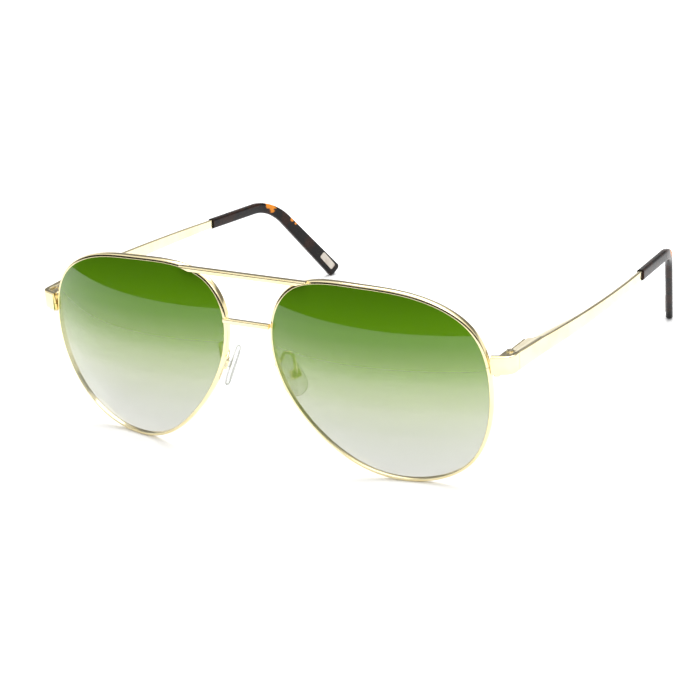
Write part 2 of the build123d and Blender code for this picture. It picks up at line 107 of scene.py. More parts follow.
def add_node(tree: bpy.types.NodeTree, kind: str, settings: Settings | None = None,
             inputs: Inputs | None = None) -> bpy.types.Node:
    """Add one node to a tree.

    Args:
        tree: the tree that the node joins.
        kind: the node's type.
        settings: its properties, set first.
        inputs: values or links for its sockets, by name or number.

    Returns:
        The new node.
    """
    node = tree.nodes.new(kind)
    for key, value in (settings or {}).items():
        setattr(node, key, value)
    for key, value in (inputs or {}).items():
        if isinstance(value, Value):
            value = value.socket
        if isinstance(value, bpy.types.NodeSocket):
            tree.links.new(value, node.inputs[key])
        else:
            node.inputs[key].default_value = value
    return node


class Value:
    """A shader socket that takes part in Python arithmetic."""

    def __init__(self, nodes: Nodes, socket: bpy.types.NodeSocket) -> None:
        """Wrap an output socket of the given node builder."""
        self.nodes = nodes
        self.socket = socket

    def _math(self, operation: str, first: object, second: object) -> Value:
        """Add a Math node and return its result."""
        node = self.nodes.add("ShaderNodeMath", {"operation": operation}, {0: first, 1: second})
        return Value(self.nodes, node.outputs[0])

    def __add__(self, other: object) -> Value:
        """Sum."""
        return self._math("ADD", self, other)

    __radd__ = __add__

    def __sub__(self, other: object) -> Value:
        """Difference."""
        return self._math("SUBTRACT", self, other)

    def __rsub__(self, other: object) -> Value:
        """Difference, with this value second."""
        return self._math("SUBTRACT", other, self)

    def __mul__(self, other: object) -> Value:
        """Product."""
        return self._math("MULTIPLY", self, other)

    __rmul__ = __mul__

    def __truediv__(self, other: object) -> Value:
        """Quotient."""
        return self._math("DIVIDE", self, other)

    def above(self, low: float, high: float) -> Value:
        """A smooth step from 0 at `low` to 1 at `high`."""
        settings = {"interpolation_type": "SMOOTHSTEP"}
        inputs = {"Value": self, "From Min": low, "From Max": high}
        return Value(self.nodes, self.nodes.add("ShaderNodeMapRange", settings, inputs).outputs["Result"])


class Nodes:
    """Builds the shader nodes of one material."""

    def __init__(self, name: str) -> None:
        """Start an empty material of this name."""
        self.material = bpy.data.materials.new(name)
        self.material.use_nodes = True
        self.tree = self.material.node_tree
        self.tree.nodes.clear()

    def add(self, kind: str, settings: Settings | None = None,
            inputs: Inputs | None = None) -> bpy.types.Node:
        """Add one node to the material."""
        return add_node(self.tree, kind, settings, inputs)

    def place(self) -> bpy.types.NodeSocket:
        """Object coordinates."""
        return self.add("ShaderNodeTexCoord").outputs["Object"]

    def height(self) -> Value:
        """The Z of a point, in metres."""
        return Value(self, self.add("ShaderNodeSeparateXYZ", None, {0: self.place()}).outputs["Z"])

    def noise(self, scale: float, detail: float = 2.0, stretch: Point = (1.0, 1.0, 1.0)) -> Value:
        """Noise in object space.

        Args:
            scale: bumps per metre.
            detail: octaves.
            stretch: how much each axis is scaled first.

        Returns:
            The noise value, around 0.5.
        """
        placed = self.add("ShaderNodeMapping", None, {"Vector": self.place(), "Scale": stretch})
        inputs = {"Vector": placed.outputs[0], "Scale": scale, "Detail": detail}
        return Value(self, self.add("ShaderNodeTexNoise", None, inputs).outputs[0])

    def ramp(self, value: Value, stops: tuple[tuple[float, Colour], ...]) -> bpy.types.NodeSocket:
        """A colour ramp over a value.

        Args:
            value: what runs along the ramp.
            stops: positions and colours.

        Returns:
            The colour socket.
        """
        node = self.add("ShaderNodeValToRGB", None, {0: value})
        node.color_ramp.interpolation = "CARDINAL"
        elements = node.color_ramp.elements
        while len(elements) < len(stops):
            elements.new(1.0)
        for element, (position, colour) in zip(elements, stops):
            element.position = position
            element.color = colour
        return node.outputs["Color"]

    def mix(self, factor: Value, first: object, second: object) -> bpy.types.NodeSocket:
        """Mix two colours by a factor."""
        node = self.add("ShaderNodeMix", {"data_type": "RGBA"}, {0: factor, 6: first, 7: second})
        return node.outputs[2]

    def bump(self, height: Value, distance: float, strength: float) -> bpy.types.NodeSocket:
        """A normal with a small relief."""
        inputs = {"Height": height, "Distance": distance, "Strength": strength}
        return self.add("ShaderNodeBump", None, inputs).outputs[0]

    def finish(self, inputs: Inputs) -> bpy.types.Material:
        """Close the tree with a Principled shader and return the material."""
        shader = self.add("ShaderNodeBsdfPrincipled", None, inputs)
        self.add("ShaderNodeOutputMaterial", None, {"Surface": shader.outputs[0]})
        return self.material


# ---------------------------------------------------------------- finishes


@dataclass(frozen=True)
class PolishedPlate:
    """Bright plating over metal, with faint polishing marks and a little wear in the shine."""

    name: str
    light: Colour
    deep: Colour
    roughness: float
    mark_scale: float = 900.0
    mark_depth: float = 0.000004
    cloud_scale: float = 160.0

    def build(self) -> bpy.types.Material:
        """Make the material."""
        nodes = Nodes(self.name)
        clouds = nodes.noise(self.cloud_scale, 3.0)
        marks = nodes.noise(self.mark_scale, 4.0, (1.0, 0.15, 1.0))
        return nodes.finish({
            "Base Color": nodes.mix(clouds.above(0.35, 0.7), self.light, self.deep),
            "Metallic": 1.0,
            "Roughness": self.roughness * 0.75 + self.roughness * 0.5 * marks,
            "Normal": nodes.bump(marks, self.mark_depth, 0.25),
        })


@dataclass(frozen=True)
class TintedLens:
    """Gradient tint: deep green at the top, fading to nearly clear at the bottom."""

    name: str
    low: float
    high: float
    colours: tuple[tuple[float, Colour], ...] = (
        (0.0, (0.20, 0.20, 0.15, 1.0)),
        (0.25, (0.15, 0.19, 0.03, 1.0)),
        (0.41, (0.20, 0.28, 0.01, 1.0)),
        (0.56, (0.19, 0.32, 0.003, 1.0)),
        (0.72, (0.118, 0.257, 0.002, 1.0)),
        (0.80, (0.090, 0.220, 0.002, 1.0)),
        (1.0, (0.050, 0.135, 0.001, 1.0)),
    )
    covers: tuple[tuple[float, float], ...] = (
        (0.0, 0.32), (0.25, 0.36), (0.41, 0.46), (0.56, 0.62), (0.72, 0.85), (0.80, 0.94), (1.0, 0.975),
    )

    def build(self) -> bpy.types.Material:
        """Make the material."""
        nodes = Nodes(self.name)
        along = (nodes.height() - self.low) / (self.high - self.low)
        cover = nodes.ramp(along, tuple((at, (share, share, share, 1.0)) for at, share in self.covers))
        haze = nodes.noise(60.0, 2.0)
        return nodes.finish({
            "Base Color": nodes.ramp(along, self.colours),
            "Alpha": cover,
            "Roughness": 0.01 + 0.02 * haze,
            "IOR": 1.2,
            "Coat Weight": 1.0,
            "Coat Roughness": 0.01,
        })


@dataclass(frozen=True)
class Tortoiseshell:
    """Near-black brown acetate with a few amber patches about the bend, polished."""

    name: str
    dark: Colour = (0.004, 0.003, 0.003, 1.0)
    brown: Colour = (0.018, 0.006, 0.003, 1.0)
    amber: Colour = (0.62, 0.20, 0.012, 1.0)
    streak_scale: float = 700.0
    patches: tuple[tuple[float, float, float], ...] = (
        (47.6, 29.9, 1.2), (49.4, 28.9, 1.5), (56.6, 22.9, 0.8), (57.8, 21.3, 0.5),
    )

    def build(self) -> bpy.types.Material:
        """Make the material."""
        nodes = Nodes(self.name)
        streaks = nodes.noise(self.streak_scale, 3.0, (1.0, 0.6, 1.0))
        clouds = nodes.noise(self.streak_scale / 3, 3.0)
        side_on = nodes.add("ShaderNodeVectorMath", {"operation": "MULTIPLY"},
                            {0: nodes.place(), 1: (0.0, 1.0, 1.0)}).outputs[0]
        amber = Value(nodes, nodes.add("ShaderNodeValue").outputs[0]) * 0.0
        for back, high, radius in self.patches:
            spot = nodes.add("ShaderNodeVectorMath", {"operation": "DISTANCE"},
                             {0: side_on, 1: (0.0, back * MM, high * MM)}).outputs["Value"]
            ragged = Value(nodes, spot) / (radius * MM) + 1.8 * streaks
            amber = amber + (1 - ragged.above(1.45, 2.1))
        brown = nodes.mix(clouds.above(0.48, 0.62), self.dark, self.brown)
        return nodes.finish({
            "Base Color": nodes.mix(amber.above(0.0, 1.0), brown, self.amber),
            "Roughness": 0.22 + 0.10 * streaks,
            "Specular IOR Level": 0.18,
            "Coat Weight": 0.05,
            "Coat Roughness": 0.08,
            "Normal": nodes.bump(streaks, 0.00001, 0.15),
        })


@dataclass(frozen=True)
class ClearSilicone:
    """Soft clear silicone that greys where it is seen edge on: painted shade that stands in for the dark
    outline that refraction gives its edges.
    """

    name: str
    face: Colour = (0.52, 0.55, 0.50, 1.0)
    # The edge colour is painted shade: the grey that stands in for refraction's dark outline where the pad
    # is seen edge on.
    edge: Colour = (0.16, 0.17, 0.13, 1.0)

    def build(self) -> bpy.types.Material:
        """Make the material."""
        nodes = Nodes(self.name)
        rim = Value(nodes, nodes.add("ShaderNodeLayerWeight", None, {"Blend": 0.45}).outputs["Facing"])
        cloud = nodes.noise(300.0, 2.0)
        return nodes.finish({
            # Base colour turns to the edge colour as the surface turns edge on: painted refraction shade,
            # not a colour of the silicone.
            "Base Color": nodes.mix(rim.above(0.3, 0.95), self.face, self.edge),
            "Alpha": 0.14 + 0.66 * rim.above(0.15, 0.9) + 0.08 * cloud,
            "Roughness": 0.12 + 0.10 * cloud,
            "IOR": 1.41,
        })


@dataclass(frozen=True)
class PaleInlay:
    """A plain pale plate with a fine grain."""

    name: str
    light: Colour = (0.52, 0.48, 0.42, 1.0)
    shade: Colour = (0.40, 0.32, 0.27, 1.0)

    def build(self) -> bpy.types.Material:
        """Make the material."""
        nodes = Nodes(self.name)
        grain = nodes.noise(700.0, 3.0, (1.0, 0.3, 0.3))
        return nodes.finish({
            "Base Color": nodes.mix(grain.above(0.35, 0.7), self.light, self.shade),
            "Roughness": 0.3 + 0.2 * grain,
            "Normal": nodes.bump(grain, 0.00001, 0.2),
        })


@dataclass(frozen=True)
class PaleFloor:
    """A smooth white table."""

    name: str
    near: Colour = (0.86, 0.86, 0.86, 1.0)
    far: Colour = (0.84, 0.84, 0.845, 1.0)

    def build(self) -> bpy.types.Material:
        """Make the material."""
        nodes = Nodes(self.name)
        cloud = nodes.noise(4.0, 2.0)
        return nodes.finish({
            "Base Color": nodes.mix(cloud, self.near, self.far),
            "Roughness": 0.6 + 0.1 * cloud,
        })


# ---------------------------------------------------------------- places and meshes


@dataclass(frozen=True)
class MakersFrame:
    """Turns the maker's millimetres into the model's metres."""

    hinge_axis: Point = (68.6, 14.6, 8.5)

    def shift(self) -> np.ndarray:
        """Where the maker's origin lies in the model, from the left hinge axis."""
        joints = frame["record"]["behaviour"]["joints"]
        pivot = next(joint["pos_m"] for joint in joints if joint["name"] == "left_temple_fold")
        return np.array(pivot) - np.array(self.hinge_axis) * MM

    def place(self, points: np.ndarray, side: Side) -> np.ndarray:
        """Points in metres, on the side asked for.

        Args:
            points: an array whose last axis is x, y, z on the wearer's left, in millimetres.
            side: the half that they are wanted for.

        Returns:
            The same points in metres.
        """
        turned = np.asarray(points, dtype=float) * np.array((side.value, 1.0, 1.0))
        return turned * MM + self.shift()


def spline_loop(points: np.ndarray, count: int) -> tuple[np.ndarray, np.ndarray]:
    """A smooth closed curve through a few points.

    Args:
        points: the points, as rows.
        count: how many places along the curve are wanted.

    Returns:
        The places, and the outward unit normal at each.
    """
    steps = np.linalg.norm(np.roll(points, -1, axis=0) - points, axis=1)
    number = len(points)
    system = np.zeros((number, number))
    right = np.zeros_like(points)
    for row in range(number):
        before, after = (row - 1) % number, (row + 1) % number
        system[row, before] += steps[before]
        system[row, row] += 2 * (steps[before] + steps[row])
        system[row, after] += steps[row]
        right[row] = 6 * ((points[after] - points[row]) / steps[row]
                          - (points[row] - points[before]) / steps[before])
    bends = np.linalg.solve(system, right)
    knots = np.concatenate(([0.0], np.cumsum(steps)))
    along = np.linspace(0.0, knots[-1], count, endpoint=False)
    span = np.clip(np.searchsorted(knots, along, side="right") - 1, 0, number - 1)
    length = steps[span][:, None]
    share = (along - knots[span])[:, None]
    rest = length - share
    first, last = points[span], points[(span + 1) % number]
    bend_a, bend_b = bends[span], bends[(span + 1) % number]
    slope_a, slope_b = first / length - bend_a * length / 6, last / length - bend_b * length / 6
    places = (bend_a * rest**3 + bend_b * share**3) / (6 * length) + slope_a * rest + slope_b * share
    runs = (bend_b * share**2 - bend_a * rest**2) / (2 * length) - slope_a + slope_b
    runs /= np.linalg.norm(runs, axis=1)[:, None]
    return places, np.column_stack((runs[:, 1], -runs[:, 0]))


def rounded_section(width: float, height: float, radius: float, steps: int = 4) -> np.ndarray:
    """The corners of a rectangle with rounded corners, going round once."""
    radius = min(radius, ROUNDEST * width, ROUNDEST * height)
    places = []
    for quarter, (sx, sy) in enumerate(((1, 1), (-1, 1), (-1, -1), (1, -1))):
        for step in range(steps + 1):
            angle = (quarter + step / steps) * math.pi / 2
            places.append((sx * (width / 2 - radius) + radius * math.cos(angle),
                           sy * (height / 2 - radius) + radius * math.sin(angle)))
    return np.array(places)


def solid_from_rings(name: str, rings: np.ndarray, sharp: float = 40.0) -> bpy.types.Object:
    """A solid skin over rings of points, with its ends closed.

    Args:
        name: the new piece's name.
        rings: an array of rings, each a row of points in metres.
        sharp: edges that bend more than this many degrees stay crisp.

    Returns:
        The new object.
    """
    count, around = rings.shape[:2]
    points = [tuple(point) for point in rings.reshape(-1, 3)]
    faces = []
    for ring in range(count - 1):
        near, far = ring * around, (ring + 1) * around
        for place in range(around):
            side = (place + 1) % around
            faces.append((near + place, near + side, far + side, far + place))
    faces.append(tuple(range(around)))
    faces.append(tuple((count - 1) * around + place for place in range(around)))
    mesh = bpy.data.meshes.new(name)
    mesh.from_pydata(points, [], faces)
    piece = bpy.data.objects.new(name, mesh)
    bpy.context.collection.objects.link(piece)
    close_up(piece, sharp)
    return piece


def close_up(piece: bpy.types.Object, sharp: float) -> None:
    """Merge doubles, turn the faces outwards and shade smooth up to an angle."""
    work = bmesh.new()
    work.from_mesh(piece.data)
    bmesh.ops.remove_doubles(work, verts=work.verts, dist=SKIN_MERGE)
    bmesh.ops.recalc_face_normals(work, faces=work.faces)
    work.to_mesh(piece.data)
    work.free()
    piece.data.shade_smooth()
    piece.data.set_sharp_from_angle(angle=math.radians(sharp))


def smooth_copy(node: str, name: str) -> bpy.types.Object:
    """A merged, smooth-shaded copy of a CAD node, under a new name."""
    piece = bpy.data.objects.new(name, frame["nodes"][node].data.copy())
    bpy.context.collection.objects.link(piece)
    work = bmesh.new()
    work.from_mesh(piece.data)
    bmesh.ops.remove_doubles(work, verts=work.verts, dist=CAD_MERGE)
    bmesh.ops.dissolve_limit(work, angle_limit=math.radians(CAD_FLAT_ANGLE), verts=work.verts,
                             edges=work.edges)
    work.to_mesh(piece.data)
    work.free()
    piece.data.shade_smooth()
    piece.data.set_sharp_from_angle(angle=math.radians(CAD_SHARP_ANGLE))
    return piece


def dress(piece: bpy.types.Object, material: bpy.types.Material, slot: str, body: str,
          *nodes: str) -> None:
    """Give a finished piece its material, its body and the nodes it stands for."""
    piece.data.materials.clear()
    piece.data.materials.append(material)
    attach(piece, body)
    if nodes:
        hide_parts(*nodes)
    LOG.info("%s rides on %s", piece.name, body)


# ---------------------------------------------------------------- swept wire


class WireTree:
    """Geometry nodes that sweep a rounded section along a path."""

    def __init__(self, name: str) -> None:
        """Build the tree under this name."""
        self.tree = bpy.data.node_groups.new(name, "GeometryNodeTree")
        self.keys: dict[str, str] = {}
        face = self.tree.interface
        for label, kind, flow in (
            ("Geometry", "NodeSocketGeometry", "INPUT"), ("Width", "NodeSocketFloat", "INPUT"),
            ("Depth", "NodeSocketFloat", "INPUT"), ("Edge Radius", "NodeSocketFloat", "INPUT"),
            ("Bend Radius", "NodeSocketFloat", "INPUT"), ("Material", "NodeSocketMaterial", "INPUT"),
            ("Geometry", "NodeSocketGeometry", "OUTPUT"),
        ):
            key = face.new_socket(name=label, in_out=flow, socket_type=kind).identifier
            self.keys.setdefault(label, key)
        self._wire()

    def _node(self, kind: str, settings: Settings, inputs: Inputs) -> bpy.types.Node:
        """Add one geometry node with its settings and inputs."""
        return add_node(self.tree, kind, settings, inputs)

    def _wire(self) -> None:
        """Join the nodes from the path to the finished skin."""
        given = self._node("NodeGroupInput", {}, {}).outputs
        bent = self._node("GeometryNodeFilletCurve", {"mode": "POLY"},
                          {"Curve": given["Geometry"], "Count": 12, "Radius": given["Bend Radius"]})
        turned = self._node("GeometryNodeSetCurveNormal", {"mode": "Z_UP"}, {"Curve": bent.outputs[0]})
        block = self._node("GeometryNodeCurvePrimitiveQuadrilateral", {"mode": "RECTANGLE"},
                           {"Width": given["Width"], "Height": given["Depth"]})
        section = self._node("GeometryNodeFilletCurve", {"mode": "POLY"},
                             {"Curve": block.outputs[0], "Count": 5, "Radius": given["Edge Radius"]})
        sweep = {"Curve": turned.outputs[0], "Profile Curve": section.outputs[0], "Fill Caps": True}
        skin = self._node("GeometryNodeCurveToMesh", {}, sweep)
        real = self._node("GeometryNodeRealizeInstances", {}, {"Geometry": skin.outputs[0]})
        dressed = self._node("GeometryNodeSetMaterial", {},
                             {"Geometry": real.outputs[0], "Material": given["Material"]})
        self._node("NodeGroupOutput", {}, {"Geometry": dressed.outputs[0]})

    def sweep(self, name: str, path: np.ndarray, sizes: dict[str, float],
              material: bpy.types.Material) -> bpy.types.Object:
        """Sweep the section along a path.

        Args:
            name: the new piece's name.
            path: the path's points, in metres.
            sizes: the tree's inputs by name, in metres.
            material: the finish.

        Returns:
            A plain mesh object.
        """
        curve = bpy.data.curves.new(name + "_path", "CURVE")
        curve.dimensions = "3D"
        spline = curve.splines.new("POLY")
        spline.points.add(len(path) - 1)
        for point, place in zip(spline.points, path):
            point.co = (*place, 1.0)
        carrier = bpy.data.objects.new(name + "_path", curve)
        bpy.context.collection.objects.link(carrier)
        modifier = carrier.modifiers.new("Wire", "NODES")
        modifier.node_group = self.tree
        for label, value in (*sizes.items(), ("Material", material)):
            modifier[self.keys[label]] = value
        seen = carrier.evaluated_get(bpy.context.evaluated_depsgraph_get())
        mesh = bpy.data.meshes.new_from_object(seen)
        bpy.data.objects.remove(carrier)
        bpy.data.curves.remove(curve)
        piece = bpy.data.objects.new(name, mesh)
        bpy.context.collection.objects.link(piece)
        close_up(piece, WIRE_SHARP_ANGLE)
        return piece


# ---------------------------------------------------------------- front


@dataclass
class LensAndRim:
    """One lens in its rim wire."""

    side: Side
    maker: MakersFrame
    lens_width: float = 58.0
    lens_height: float = 52.6
    centre_x: float = 37.0
    centre_y: float = 0.8
    wrap: float = 6.2
    tilt: float = 5.0
    curve_radius: float = 76.0
    rim_width: float = 0.9
    rim_depth: float = 1.45
    rim_edge: float = 0.24
    lens_thickness: float = 1.4
    lens_in_rim: float = 0.3
    split: float = 0.12
    split_z: float = 7.3
    samples: int = 240
    rings: int = 20
    first_ring: float = 0.05
    sharp: float = 60.0
    outline: tuple[Range, ...] = (
        (1.0, 0.03), (0.875, 0.588), (0.445, 0.905), (-0.13, 0.993), (-0.53, 0.978),
        (-0.80, 0.865), (-0.965, 0.615), (-0.985, 0.18), (-0.84, -0.218), (-0.575, -0.59),
        (-0.14, -0.93), (0.235, -1.0), (0.735, -0.80), (0.935, -0.43),
    )

    def on_curve(self, flat: np.ndarray, depth: float) -> np.ndarray:
        """Places on the lens curve.

        Args:
            flat: positions on the lens plane.
            depth: distance in front of the middle of the lens.

        Returns:
            The places, in the maker's millimetres.
        """
        wrap, tilt = math.radians(self.wrap), math.radians(self.tilt)
        across = np.array((math.cos(wrap), math.sin(wrap) * math.cos(tilt),
                           math.sin(wrap) * math.sin(tilt)))
        out = np.array((math.sin(wrap), -math.cos(wrap) * math.cos(tilt), -math.cos(wrap) * math.sin(tilt)))
        up = np.cross(out, across)
        fall = np.sqrt((self.curve_radius + depth) ** 2 - (flat**2).sum(axis=-1)) - self.curve_radius
        start = np.array((self.centre_x, self.centre_y, 0.0))
        return start + flat[..., :1] * across + flat[..., 1:] * up + fall[..., None] * out

    def edge(self, grow: float) -> np.ndarray:
        """The rim's opening on the lens plane, moved outward by `grow`."""
        shape = np.array(self.outline) * np.array((self.lens_width / 2, self.lens_height / 2))
        places, outward = spline_loop(shape, self.samples)
        return places + outward * grow

    def rim(self) -> bpy.types.Object:
        """The rim wire, one turn that stops short of itself at the closing block."""
        section = rounded_section(self.rim_width, self.rim_depth, self.rim_edge)
        rings = np.stack([self.on_curve(self.edge(self.rim_width / 2 + grow), depth)
                          for grow, depth in section], axis=1)
        middle = rings.mean(axis=1)
        off_split = np.where(middle[:, 0] < self.centre_x, np.inf, np.abs(middle[:, 2] - self.split_z))
        start = int(np.argmin(off_split))
        rings = np.roll(rings, -start, axis=0)
        rings = np.concatenate((rings, rings[:1]))
        for end, inner in ((0, 1), (-1, -2)):
            run = rings[inner].mean(axis=0) - rings[end].mean(axis=0)
            rings[end] = rings[end] + run / np.linalg.norm(run) * self.split / 2
        return solid_from_rings(f"{self.side.word}_rim_wire", self.maker.place(rings, self.side))

    def lens(self) -> bpy.types.Object:
        """The curved lens, its edge hidden in the rim."""
        edge = self.edge(self.lens_in_rim)
        half = self.lens_thickness / 2
        shares = np.sin(np.linspace(self.first_ring, 1.0, self.rings) * math.pi / 2)
        front = [self.on_curve(edge * share, half) for share in shares]
        back = [self.on_curve(edge * share, -half) for share in shares[::-1]]
        rings = self.maker.place(np.array(front + back), self.side)
        piece = solid_from_rings(f"{self.side.word}_tinted_lens", rings, self.sharp)
        flat = np.zeros((1, 2))
        front_mid, ahead = self.on_curve(flat, 0.0)[0], self.on_curve(flat, 1.0)[0]
        centre = self.maker.place(front_mid - (ahead - front_mid) * self.curve_radius, self.side)
        places = np.array([vertex.co[:] for vertex in piece.data.vertices]) - centre
        far = np.linalg.norm(places, axis=1)
        facing = np.where(far > self.curve_radius * MM, 1.0, -1.0) / far
        piece.data.normals_split_custom_set_from_vertices([tuple(way) for way in places * facing[:, None]])
        return piece

    def make(self, gold: bpy.types.Material, tint: bpy.types.Material) -> None:
        """Build and dress both pieces."""
        word = self.side.word
        dress(self.rim(), gold, "gold_wire", "front", f"{word}_rim")
        dress(self.lens(), tint, "lens_tint", "front", f"{word}_lens")


@dataclass
class Bridges:
    """The bridge and the top bar between the rims."""

    nodes: tuple[str, ...] = ("bridge", "top_bar")

    def make(self, gold: bpy.types.Material) -> None:
        """Build and dress both bars."""
        for node in self.nodes:
            dress(smooth_copy(node, f"{node}_bar"), gold, "gold_wire", "front", node)


@dataclass
class EndPiece:
    """The bar that carries the front's line round the corner to the hinge."""

    side: Side
    maker: MakersFrame
    thickness: float = 1.5
    height: float = 4.8
    edge: float = 0.3
    outer_x: float = 71.6
    front_y: float = 8.1
    front_x: float = 66.9
    slope: float = 20.8
    joint_y: float = 13.6
    middle_z: float = 8.5
    corner: float = 2.45
    start_in: float = 0.7

    def make(self, tree: WireTree, gold: bpy.types.Material) -> None:
        """Build and dress the end piece."""
        lean = math.radians(self.slope)
        middle_x = self.outer_x - self.thickness / 2
        start_y = self.front_y + self.thickness / 2 / math.cos(lean)
        start = (self.front_x - self.start_in, start_y - self.start_in * math.tan(lean))
        turn = (middle_x, start_y + (middle_x - self.front_x) * math.tan(lean))
        flat = np.array((start, turn, (middle_x, self.joint_y)))
        path = np.column_stack((flat, np.full(3, self.middle_z)))
        sizes = {
            "Width": self.thickness * MM, "Depth": self.height * MM, "Edge Radius": self.edge * MM,
            "Bend Radius": self.corner * MM,
        }
        word = self.side.word
        piece = tree.sweep(f"{word}_end_bar", self.maker.place(path, self.side), sizes, gold)
        dress(piece, gold, "gold_parts", "front", f"{word}_end_piece")


# ---------------------------------------------------------------- temples


@dataclass
class TemplePlan:
    """The line of a temple seen from above."""

    start_x: float = 71.05
    joint_y: float = 13.6
    tip_y: float = 94.0
    bow: float = 4.8
    bow_end_margin: float = 4.0
    straight: float = 25.0
    bend: float = 21.0
    bend_radius: float = 42.0
    beyond: float = 60.0
    samples: int = 700

    def line(self) -> tuple[np.ndarray, np.ndarray]:
        """Places along the line and the unit normals that point out of the head space."""
        bow = math.radians(self.bow)
        radius = (self.tip_y - self.bow_end_margin - self.joint_y) / 2 / math.sin(bow)
        turn = math.radians(self.bend) - bow
        lengths = (2 * bow * radius, self.straight, turn * self.bend_radius, self.beyond)
        marks = np.cumsum((0.0, *lengths))
        along = np.linspace(0.0, marks[-1], self.samples)
        headings = np.interp(along, marks, (bow, -bow, -bow, -bow - turn, -bow - turn))
        runs = np.column_stack((np.sin(headings), np.cos(headings)))
        steps = np.diff(along)[:, None] * (runs[1:] + runs[:-1]) / 2
        places = np.concatenate((np.zeros((1, 2)), np.cumsum(steps, axis=0)))
        places += np.array((self.start_x, self.joint_y))
        return places, np.column_stack((runs[:, 1], -runs[:, 0]))

    def at(self, y: np.ndarray) -> tuple[np.ndarray, np.ndarray]:
        """The line's x, and its outward normal, at distances back."""
        places, normals = self.line()
        x = np.interp(y, places[:, 1], places[:, 0])
        normal = np.column_stack([np.interp(y, places[:, 1], normals[:, axis]) for axis in (0, 1)])
        return x, normal / np.linalg.norm(normal, axis=1)[:, None]


@dataclass
class Temple:
    """The metal blade from the hinge to the tip."""

    side: Side
    maker: MakersFrame
    plan: TemplePlan
    thickness: float = 1.1
    inner_x: float = 70.0
    case_rear_y: float = 26.5
    fairing: float = 0.5
    fairing_length: float = 22.0
    hinge_z: float = 8.5
    front_height: float = 4.8
    case_height: float = 4.4
    case_fall: float = 0.1
    rear_height: float = 2.5
    fall: float = 3.6
    rear_y: float = 94.4
    edge: float = 0.28
    case_slope: float = 0.3
    stations: int = 150
    case_stations: int = 30
    station_gap: float = 0.02
    joint_gap: float = 0.1

    def make(self, gold: bpy.types.Material) -> None:
        """Build and dress the blade."""
        start = self.plan.joint_y + self.joint_gap
        before = np.linspace(start, self.case_rear_y, self.case_stations)
        after = np.linspace(self.case_rear_y + self.station_gap, self.rear_y, self.stations)
        y = np.concatenate((before, after))
        x, _ = self.plan.at(y)
        knots = (start, self.case_rear_y, self.plan.tip_y)
        top = np.interp(y, knots, (
            self.hinge_z + self.front_height / 2, self.hinge_z - self.case_fall + self.case_height / 2,
            self.hinge_z - self.fall + self.rear_height / 2))
        low = np.interp(y, knots, (
            self.hinge_z - self.front_height / 2, self.hinge_z - self.case_fall - self.case_height / 2,
            self.hinge_z - self.fall - self.rear_height / 2))
        outer = x + self.thickness / 2
        inner = x - self.thickness / 2
        share = np.clip((y - self.case_rear_y) / self.fairing_length, 0.0, 1.0)
        eased = (1 - share) ** 2 * (1 + 2 * share)
        inner = np.where(y <= self.case_rear_y, np.minimum(inner, self.inner_x),
                         inner + (self.inner_x - self.fairing - inner) * eased * (share < 1))
        rings = []
        for place, back in enumerate(y):
            section = rounded_section(outer[place] - inner[place], top[place] - low[place], self.edge)
            middle = (outer[place] + inner[place]) / 2
            inward = np.clip(outer[place] - self.thickness - middle - section[:, 0], 0.0, None)
            section[:, 1] -= np.where(section[:, 1] > 0, self.case_slope * inward, 0.0)
            rings.append(np.column_stack((
                middle + section[:, 0], np.full(len(section), back),
                (top[place] + low[place]) / 2 + section[:, 1])))
        word = self.side.word
        piece = solid_from_rings(f"{word}_temple_blade", self.maker.place(np.array(rings), self.side))
        dress(piece, gold, "gold_temple", f"{word}_temple", f"{word}_temple")


